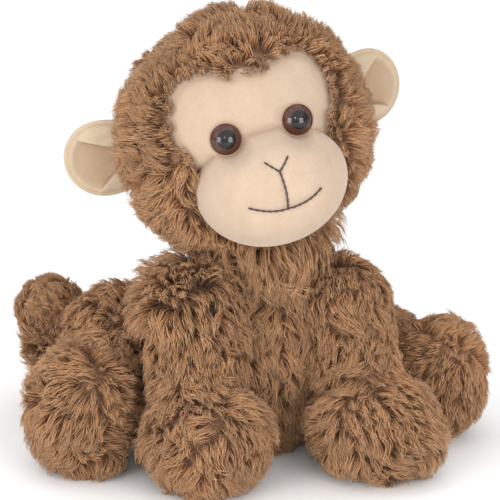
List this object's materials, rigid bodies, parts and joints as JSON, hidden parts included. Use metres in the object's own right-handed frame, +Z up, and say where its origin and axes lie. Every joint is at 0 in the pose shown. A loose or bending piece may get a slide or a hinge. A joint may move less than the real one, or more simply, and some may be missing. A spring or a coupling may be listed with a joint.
{
  "type": "stuffed monkey",
  "caption": "Seated long-pile plush monkey with a short-nap face and muzzle, safety eyes, stitched nose and smile, round ears, big paws and feet and a curled tail.",
  "frame": {"origin": "centre of the flat seat, on the surface that the toy sits on", "axes": "+Z up; the toy faces -Y; its own left side is +X"},
  "size_m": [0.272, 0.2085, 0.2534],
  "materials": {
    "fur": "matte",
    "face_fabric": "matte",
    "ear_fabric": "matte",
    "stuffing": "matte",
    "pouch_fabric": "matte",
    "pellets": "matte",
    "eye_brown": "gloss",
    "eye_black": "gloss",
    "eye_backs": "matte",
    "thread": "satin"
  },
  "bodies": {
    "torso": {"torso_front_panel": "fur", "torso_back_panel": "fur", "torso_stuffing": "stuffing", "seat_pouch": "pouch_fabric", "pouch_pellets": "pellets"},
    "neck_core": {"neck_stuffing": "stuffing"},
    "neck_band": {"neck_cover": "fur"},
    "head": {"head_gusset": "fur", "head_panel_left": "fur", "head_panel_right": "fur", "head_stuffing": "stuffing", "face_panel": "face_fabric", "muzzle_panel": "face_fabric", "muzzle_stuffing": "stuffing", "eye_cap_left": "eye_brown", "eye_cap_right": "eye_brown", "eye_pupil_left": "eye_black", "eye_pupil_right": "eye_black", "eye_shanks": "eye_backs", "eye_washers": "eye_backs", "nose_stitching": "thread", "mouth_stitching": "thread"},
    "ear_left": {"ear_front_left": "ear_fabric", "ear_back_left": "ear_fabric"},
    "ear_right": {"ear_front_right": "ear_fabric", "ear_back_right": "ear_fabric"},
    "shoulder_left": {"shoulder_stuffing_left": "stuffing"},
    "arm_left": {"arm_front_panel_left": "fur", "arm_back_panel_left": "fur", "arm_stuffing_left": "stuffing", "hand_top_left": "fur", "hand_palm_left": "fur", "hand_stuffing_left": "stuffing"},
    "shoulder_right": {"shoulder_stuffing_right": "stuffing"},
    "arm_right": {"arm_front_panel_right": "fur", "arm_back_panel_right": "fur", "arm_stuffing_right": "stuffing", "hand_top_right": "fur", "hand_palm_right": "fur", "hand_stuffing_right": "stuffing"},
    "hip_left": {"hip_stuffing_left": "stuffing"},
    "leg_left": {"leg_upper_panel_left": "fur", "leg_lower_panel_left": "fur", "leg_stuffing_left": "stuffing", "foot_sole_left": "fur", "foot_heel_left": "fur", "foot_stuffing_left": "stuffing"},
    "hip_right": {"hip_stuffing_right": "stuffing"},
    "leg_right": {"leg_upper_panel_right": "fur", "leg_lower_panel_right": "fur", "leg_stuffing_right": "stuffing", "foot_sole_right": "fur", "foot_heel_right": "fur", "foot_stuffing_right": "stuffing"},
    "tail_base": {"tail_base_cover": "fur", "tail_base_stuffing": "stuffing"},
    "tail_tip": {"tail_tip_cover": "fur", "tail_tip_stuffing": "stuffing"}
  },
  "joints": [
    {"name": "neck_tilt", "type": "hinge", "parent": "torso", "child": "neck_core", "pos_m": [0, -0.014, 0.127], "axis": [0, 1, 0], "range_deg": [-8, 25], "stiffness_Nm_per_rad": 0.8},
    {"name": "neck_nod", "type": "hinge", "parent": "neck_core", "child": "neck_band", "pos_m": [0, -0.014, 0.127], "axis": [-0.9767, 0, -0.2147], "range_deg": [-12, 15], "stiffness_Nm_per_rad": 0.8},
    {"name": "neck_turn", "type": "hinge", "parent": "neck_band", "child": "head", "pos_m": [0, -0.014, 0.127], "axis": [-0.2147, 0, 0.9767], "range_deg": [-30, 30], "stiffness_Nm_per_rad": 0.6},
    {"name": "ear_fold_left", "type": "hinge", "parent": "head", "child": "ear_left", "pos_m": [0.05315, -0.003, 0.20473], "axis": [-0.2147, 0, 0.9767], "range_deg": [-25, 25], "stiffness_Nm_per_rad": 0.05},
    {"name": "ear_fold_right", "type": "hinge", "parent": "head", "child": "ear_right", "pos_m": [-0.08085, -0.003, 0.17527], "axis": [0.2147, 0, -0.9767], "range_deg": [-25, 25], "stiffness_Nm_per_rad": 0.05},
    {"name": "arm_raise_left", "type": "hinge", "parent": "torso", "child": "shoulder_left", "pos_m": [0.044, -0.028, 0.09], "axis": [-1, 0, 0], "range_deg": [0, 60], "stiffness_Nm_per_rad": 0.25},
    {"name": "arm_spread_left", "type": "hinge", "parent": "shoulder_left", "child": "arm_left", "pos_m": [0.044, -0.028, 0.09], "axis": [0, -1, 0], "range_deg": [-6, 3], "stiffness_Nm_per_rad": 0.25},
    {"name": "arm_raise_right", "type": "hinge", "parent": "torso", "child": "shoulder_right", "pos_m": [-0.044, -0.028, 0.09], "axis": [-1, 0, 0], "range_deg": [0, 60], "stiffness_Nm_per_rad": 0.25},
    {"name": "arm_spread_right", "type": "hinge", "parent": "shoulder_right", "child": "arm_right", "pos_m": [-0.044, -0.028, 0.09], "axis": [0, 1, 0], "range_deg": [-6, 3], "stiffness_Nm_per_rad": 0.25},
    {"name": "leg_swing_left", "type": "hinge", "parent": "torso", "child": "hip_left", "pos_m": [0.046, 0.019, 0.05], "axis": [0, 0, -1], "range_deg": [-25, 0], "stiffness_Nm_per_rad": 0.25},
    {"name": "leg_lift_left", "type": "hinge", "parent": "hip_left", "child": "leg_left", "pos_m": [0.046, 0.019, 0.05], "axis": [0, -1, 0], "range_deg": [0, 20], "stiffness_Nm_per_rad": 0.25},
    {"name": "leg_swing_right", "type": "hinge", "parent": "torso", "child": "hip_right", "pos_m": [-0.046, 0.019, 0.05], "axis": [0, 0, 1], "range_deg": [-10, 0], "stiffness_Nm_per_rad": 0.25},
    {"name": "leg_lift_right", "type": "hinge", "parent": "hip_right", "child": "leg_right", "pos_m": [-0.046, 0.019, 0.05], "axis": [0, 1, 0], "range_deg": [0, 4], "stiffness_Nm_per_rad": 0.25},
    {"name": "tail_swing", "type": "hinge", "parent": "torso", "child": "tail_base", "pos_m": [-0.004, 0.05, 0.034], "axis": [0, 0, 1], "range_deg": [-18, 2], "stiffness_Nm_per_rad": 0.2},
    {"name": "tail_curl", "type": "hinge", "parent": "tail_base", "child": "tail_tip", "pos_m": [-0.091, 0.082, 0.034], "axis": [0, 1, 0], "range_deg": [-25, 15], "stiffness_Nm_per_rad": 0.15}
  ]
}
